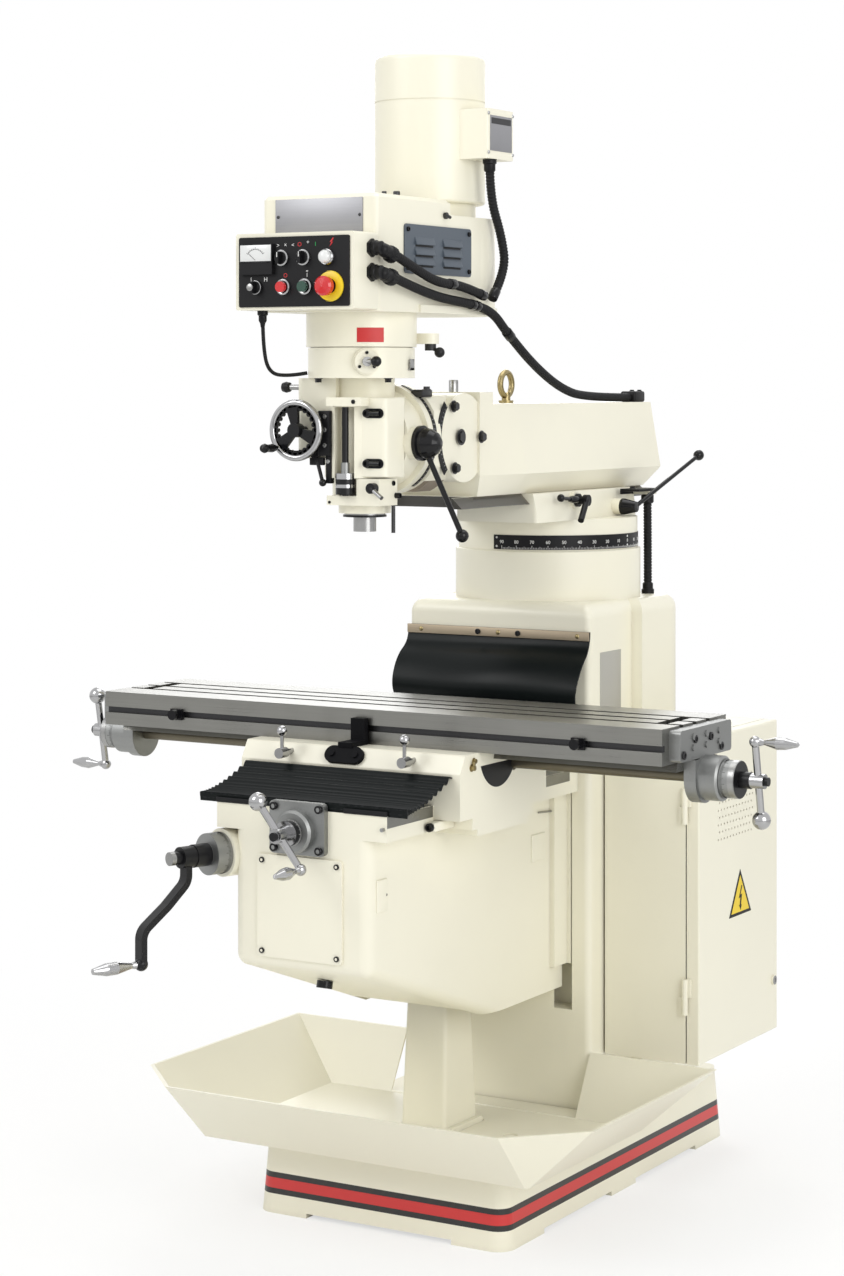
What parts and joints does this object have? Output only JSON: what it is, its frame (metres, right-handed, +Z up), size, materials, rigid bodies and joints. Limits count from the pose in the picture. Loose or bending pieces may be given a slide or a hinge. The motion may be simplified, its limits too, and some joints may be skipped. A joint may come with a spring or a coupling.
{
  "type": "knee milling machine",
  "caption": "Vertical knee milling machine with a swivelling ram head, feed handles, a slotted table, chip tray and side cabinet.",
  "frame": {"origin": "centre of the base's footprint on the floor", "axes": "+X to the operator's right along the table, +Y away from the operator, +Z up"},
  "size_m": [1.83, 1.6916, 2.508],
  "materials": {
    "ivory_paint": "satin",
    "tray_paint": "satin",
    "machined_steel": "satin",
    "chrome": "gloss",
    "cast_aluminium": "satin",
    "black_rubber": "matte",
    "black_plastic": "satin",
    "black_steel": "satin",
    "brass": "satin",
    "red_plastic": "gloss",
    "green_plastic": "gloss"
  },
  "bodies": {
    "column": {"base_casting": "ivory_paint", "chip_tray": "tray_paint", "column_casting": "ivory_paint", "elevating_pedestal": "ivory_paint", "cabinet_body": "ivory_paint", "cabinet_electrics": "black_plastic", "column_conduit": "black_plastic", "rear_way_cover": "black_rubber"},
    "door": {"cabinet_door": "ivory_paint"},
    "knee": {"knee_casting": "ivory_paint", "cross_bearing_bracket": "cast_aluminium", "front_way_cover": "black_rubber"},
    "lift_crank": {"elevating_crank": "chrome"},
    "lift_screw": {"elevating_screw": "machined_steel"},
    "cross_feed": {"cross_screw": "chrome"},
    "saddle": {"saddle_casting": "ivory_paint", "saddle_stop_bracket": "machined_steel", "feed_nuts": "brass"},
    "lock_left": {"table_lock_left": "black_steel"},
    "lock_right": {"table_lock_right": "black_steel"},
    "table": {"table_top": "machined_steel", "table_stops": "black_steel", "end_brackets": "cast_aluminium"},
    "table_drive": {"table_screw": "machined_steel", "table_cranks": "chrome"},
    "turret": {"turret_casting": "ivory_paint"},
    "ram_lever": {"ram_lever": "black_steel"},
    "ram_clamp": {"ram_clamp_lever": "black_plastic"},
    "ram": {"ram_casting": "ivory_paint", "eye_bolt": "brass", "main_conduit": "black_plastic"},
    "knuckle": {"ram_knuckle": "ivory_paint"},
    "head": {"head_casting": "ivory_paint", "gear_housing": "ivory_paint", "belt_housing": "ivory_paint", "control_box": "ivory_paint", "control_panel": "black_plastic", "motor_housing": "ivory_paint", "depth_stop": "machined_steel", "feed_cord": "black_rubber", "drive_belt": "black_rubber", "motor_conduit": "black_plastic", "panel_conduit": "black_plastic"},
    "quill": {"quill": "machined_steel"},
    "spindle": {"spindle": "machined_steel"},
    "pulley": {"spindle_pulley": "cast_aluminium"},
    "rotor": {"motor_rotor": "machined_steel"},
    "quill_lever": {"quill_lever": "black_steel"},
    "handwheel": {"feed_handwheel": "chrome"},
    "feed_lever": {"feed_lever": "black_steel"},
    "quill_lock": {"quill_lock": "machined_steel"},
    "feed_selector": {"feed_selector": "machined_steel"},
    "range_lever": {"range_lever": "black_plastic"},
    "pull_knob": {"pull_knob": "machined_steel"},
    "voltage_selector": {"voltage_selector": "black_plastic"},
    "power_selector": {"power_selector": "black_plastic"},
    "range_selector": {"range_selector": "black_plastic"},
    "stop_button": {"stop_button": "red_plastic"},
    "start_button": {"start_button": "green_plastic"},
    "emergency_stop": {"emergency_stop": "red_plastic"}
  },
  "joints": [
    {"name": "door_swing", "type": "hinge", "parent": "column", "child": "door", "pos_m": [0.4415, 0.0376, 0.6465], "axis": [0, 0, -1], "range_deg": [0, 95]},
    {"name": "knee_lift", "type": "slide", "parent": "column", "child": "knee", "axis": [0, 0, 1], "range_m": [-0.1, 0.3], "deforming": ["rear_way_cover"]},
    {"name": "saddle_cross", "type": "slide", "parent": "knee", "child": "saddle", "axis": [0, 1, 0], "range_m": [-0.11, 0.2], "deforming": ["rear_way_cover", "front_way_cover"]},
    {"name": "table_travel", "type": "slide", "parent": "saddle", "child": "table", "axis": [1, 0, 0], "range_m": [-0.34, 0.4]},
    {"name": "table_crank_turn", "type": "hinge", "parent": "table", "child": "table_drive", "pos_m": [0, -0.434, 1], "axis": [1, 0, 0], "continuous": true},
    {"name": "cross_crank_turn", "type": "hinge", "parent": "knee", "child": "cross_feed", "pos_m": [0, -0.845, 0.891], "axis": [0, 1, 0], "continuous": true},
    {"name": "lift_crank_turn", "type": "hinge", "parent": "knee", "child": "lift_crank", "pos_m": [0, -0.287, 0.828], "axis": [-0.342, -0.9397, 0], "continuous": true},
    {"name": "lift_screw_turn", "type": "hinge", "parent": "knee", "child": "lift_screw", "pos_m": [0, -0.287, 0.7], "axis": [0, 0, 1], "continuous": true},
    {"name": "lock_left_turn", "type": "hinge", "parent": "saddle", "child": "lock_left", "pos_m": [-0.15, -0.632, 1.02], "axis": [0, -1, 0], "range_deg": [-40, 40]},
    {"name": "lock_right_turn", "type": "hinge", "parent": "saddle", "child": "lock_right", "pos_m": [0.15, -0.632, 1.02], "axis": [0, -1, 0], "range_deg": [-40, 40]},
    {"name": "turret_turn", "type": "hinge", "parent": "column", "child": "turret", "pos_m": [0, 0.223, 1.414], "axis": [0, 0, 1], "range_deg": [-90, 90], "deforming": ["column_conduit"]},
    {"name": "ram_travel", "type": "slide", "parent": "turret", "child": "ram", "axis": [0, 1, 0], "range_m": [-0.3, 0.25]},
    {"name": "ram_lever_turn", "type": "hinge", "parent": "turret", "child": "ram_lever", "pos_m": [0.162, 0.289, 1.508], "axis": [1, 0, 0], "range_deg": [-15, 75]},
    {"name": "ram_clamp_turn", "type": "hinge", "parent": "turret", "child": "ram_clamp", "pos_m": [0.146, 0.087, 1.53], "axis": [1, 0, 0], "range_deg": [-30, 30]},
    {"name": "head_nod", "type": "hinge", "parent": "ram", "child": "knuckle", "pos_m": [0, -0.372, 1.68], "axis": [-1, 0, 0], "range_deg": [-35, 25], "deforming": ["main_conduit"]},
    {"name": "head_tilt", "type": "hinge", "parent": "knuckle", "child": "head", "pos_m": [0, -0.505, 1.68], "axis": [0, 1, 0], "range_deg": [-90, 90], "deforming": ["main_conduit"]},
    {"name": "quill_feed", "type": "slide", "parent": "head", "child": "quill", "axis": [0, 0, 1], "range_m": [-0.127, 0]},
    {"name": "spindle_turn", "type": "hinge", "parent": "quill", "child": "spindle", "pos_m": [0, -0.597, 1.6], "axis": [0, 0, 1], "continuous": true},
    {"name": "pulley_turn", "type": "hinge", "parent": "head", "child": "pulley", "pos_m": [0, -0.597, 1.97], "axis": [0, 0, 1], "continuous": true},
    {"name": "rotor_turn", "type": "hinge", "parent": "head", "child": "rotor", "pos_m": [0, -0.326, 2.2], "axis": [0, 0, 1], "continuous": true},
    {"name": "quill_lever_turn", "type": "hinge", "parent": "head", "child": "quill_lever", "pos_m": [0.119, -0.57, 1.672], "axis": [1, 0, 0], "range_deg": [-190, 10]},
    {"name": "handwheel_turn", "type": "hinge", "parent": "head", "child": "handwheel", "pos_m": [-0.104, -0.702, 1.699], "axis": [0, -1, 0], "continuous": true},
    {"name": "feed_lever_turn", "type": "hinge", "parent": "head", "child": "feed_lever", "pos_m": [-0.073, -0.668, 1.652], "axis": [0, -1, 0], "range_deg": [-20, 20]},
    {"name": "quill_lock_turn", "type": "hinge", "parent": "head", "child": "quill_lock", "pos_m": [0.069, -0.672, 1.58], "axis": [0, -1, 0], "range_deg": [-25, 25]},
    {"name": "feed_selector_turn", "type": "hinge", "parent": "head", "child": "feed_selector", "pos_m": [0.0714, -0.7052, 1.842], "axis": [0.6, -0.8, 0], "range_deg": [-60, 60]},
    {"name": "range_lever_turn", "type": "hinge", "parent": "head", "child": "range_lever", "pos_m": [0.118, -0.525, 1.88], "axis": [0, 0, 1], "range_deg": [-35, 35]},
    {"name": "pull_knob_slide", "type": "slide", "parent": "head", "child": "pull_knob", "axis": [-1, 0, 0], "range_m": [0, 0.01]},
    {"name": "voltage_selector_turn", "type": "hinge", "parent": "head", "child": "voltage_selector", "pos_m": [-0.027, -0.875, 2.051], "axis": [0, -1, 0], "range_deg": [-45, 45]},
    {"name": "power_selector_turn", "type": "hinge", "parent": "head", "child": "power_selector", "pos_m": [0.025, -0.875, 2.051], "axis": [0, -1, 0], "range_deg": [-45, 45]},
    {"name": "range_selector_turn", "type": "hinge", "parent": "head", "child": "range_selector", "pos_m": [-0.09, -0.875, 1.992], "axis": [0, -1, 0], "range_deg": [-45, 45]},
    {"name": "stop_button_press", "type": "slide", "parent": "head", "child": "stop_button", "axis": [0, 1, 0], "range_m": [0, 0.004], "stiffness_N_per_m": 900, "springref_m": -0.002},
    {"name": "start_button_press", "type": "slide", "parent": "head", "child": "start_button", "axis": [0, 1, 0], "range_m": [0, 0.004], "stiffness_N_per_m": 900, "springref_m": -0.002},
    {"name": "emergency_stop_press", "type": "slide", "parent": "head", "child": "emergency_stop", "axis": [0, 1, 0], "range_m": [0, 0.004], "stiffness_N_per_m": 900, "springref_m": -0.002}
  ],
  "couplings": [
    {"joint": "table_crank_turn", "follows": "table_travel", "rad_per_m": 1256.6},
    {"joint": "cross_crank_turn", "follows": "saddle_cross", "rad_per_m": 1256.6},
    {"joint": "lift_crank_turn", "follows": "knee_lift", "rad_per_m": -1256.6},
    {"joint": "lift_screw_turn", "follows": "knee_lift", "rad_per_m": 628.32},
    {"joint": "quill_lever_turn", "follows": "quill_feed", "rad_per_m": 25},
    {"joint": "spindle_turn", "follows": "rotor_turn", "ratio": 1},
    {"joint": "pulley_turn", "follows": "rotor_turn", "ratio": 1}
  ]
}
